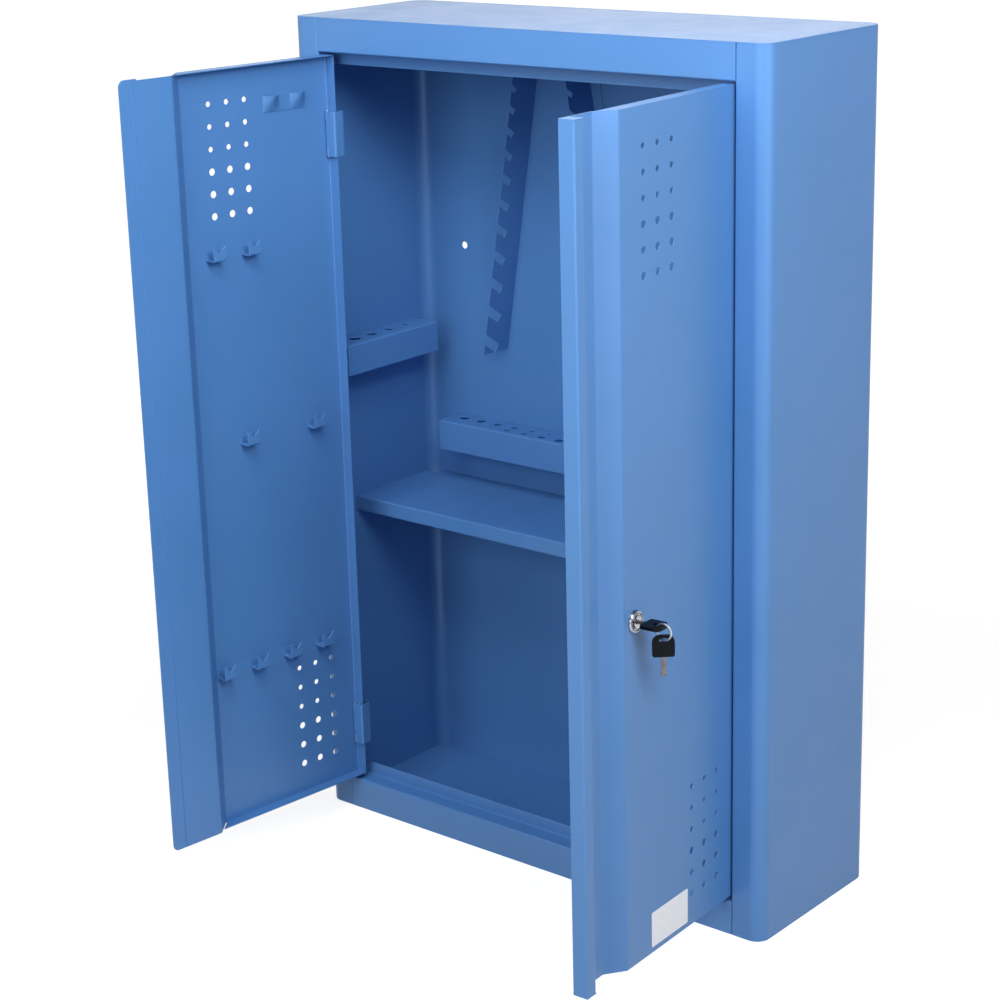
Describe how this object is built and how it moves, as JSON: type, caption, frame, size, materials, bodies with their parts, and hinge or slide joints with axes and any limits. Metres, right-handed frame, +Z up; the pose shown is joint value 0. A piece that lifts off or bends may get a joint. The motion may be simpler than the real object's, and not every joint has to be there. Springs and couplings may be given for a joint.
{
  "type": "tool cabinet with doors",
  "caption": "Shallow sheet metal tool cabinet with hinged vented doors, a shelf, tool racks and hooks inside, and a cam lock with keys.",
  "frame": {"origin": "middle of the lower back edge, on the face that goes against the wall", "axes": "+Z up, +Y into the wall, so the doors face -Y; +X to the right as seen from the front"},
  "size_m": [0.6105, 0.4696, 0.9],
  "materials": {
    "blue_paint": "semi-gloss",
    "zinc_steel": "zinc plated",
    "lock_chrome": "polished",
    "key_steel": "nickel plated",
    "black_plastic": "fine grain",
    "white_label": "satin film"
  },
  "bodies": {
    "casing": {"left_wall": "blue_paint", "right_wall": "blue_paint", "back_panel": "blue_paint", "top_panel": "blue_paint", "header_rail": "blue_paint", "sill_rail": "blue_paint", "floor_panel": "blue_paint", "shelf": "blue_paint", "shelf_bracket_left": "blue_paint", "shelf_bracket_right": "blue_paint", "side_tool_rack": "blue_paint", "back_tool_rack": "blue_paint", "spanner_rack_left": "blue_paint", "spanner_rack_right": "blue_paint", "frame_hinge_upper_left": "blue_paint", "frame_hinge_lower_left": "blue_paint", "frame_hinge_upper_right": "blue_paint", "frame_hinge_lower_right": "blue_paint", "hinge_pin_upper_left": "zinc_steel", "hinge_pin_lower_left": "zinc_steel", "hinge_pin_upper_right": "zinc_steel", "hinge_pin_lower_right": "zinc_steel"},
    "left_door": {"left_door_panel": "blue_paint", "left_door_lip": "blue_paint", "door_hinge_upper_left": "blue_paint", "door_hinge_lower_left": "blue_paint", "hook_upper_1": "blue_paint", "hook_upper_2": "blue_paint", "hook_middle_1": "blue_paint", "hook_middle_2": "blue_paint", "hook_lower_1": "blue_paint", "hook_lower_2": "blue_paint", "hook_lower_3": "blue_paint", "hook_lower_4": "blue_paint", "loop_bracket": "blue_paint"},
    "right_door": {"right_door_panel": "blue_paint", "door_hinge_upper_right": "blue_paint", "door_hinge_lower_right": "blue_paint", "lock_housing": "lock_chrome", "lock_nut": "zinc_steel", "blank_label": "white_label"},
    "plug": {"lock_plug": "lock_chrome", "lock_cam": "zinc_steel", "cam_screw": "zinc_steel"},
    "key": {"key_blade": "key_steel", "key_head": "black_plastic"},
    "ring": {"split_ring": "zinc_steel"},
    "spare_key": {"spare_key_blade": "key_steel", "spare_key_head": "black_plastic"}
  },
  "joints": [
    {"name": "right_door_hinge", "type": "hinge", "parent": "casing", "child": "right_door", "pos_m": [0.2578, -0.1963, 0.45], "axis": [0, 0, 1], "range_deg": [-93, 11]},
    {"name": "left_door_hinge", "type": "hinge", "parent": "casing", "child": "left_door", "pos_m": [-0.2578, -0.1963, 0.45], "axis": [0, 0, 1], "range_deg": [-8, 96]},
    {"name": "lock_turn", "type": "hinge", "parent": "right_door", "child": "plug", "pos_m": [0.27054, -0.36867, 0.3925], "axis": [-0.9986, -0.0523, 0], "range_deg": [0, 90]},
    {"name": "key_slide", "type": "slide", "parent": "plug", "child": "key", "axis": [0.9986, 0.0523, 0], "range_m": [0, 0.03]},
    {"name": "ring_swing", "type": "hinge", "parent": "key", "child": "ring", "pos_m": [0.3016, -0.36704, 0.3925], "axis": [-0.0523, 0.9986, 0], "range_deg": [-30, 12]},
    {"name": "spare_key_swing", "type": "hinge", "parent": "ring", "child": "spare_key", "pos_m": [0.3016, -0.36704, 0.3881], "axis": [-0.0523, 0.9986, 0], "range_deg": [-30, 12]}
  ]
}
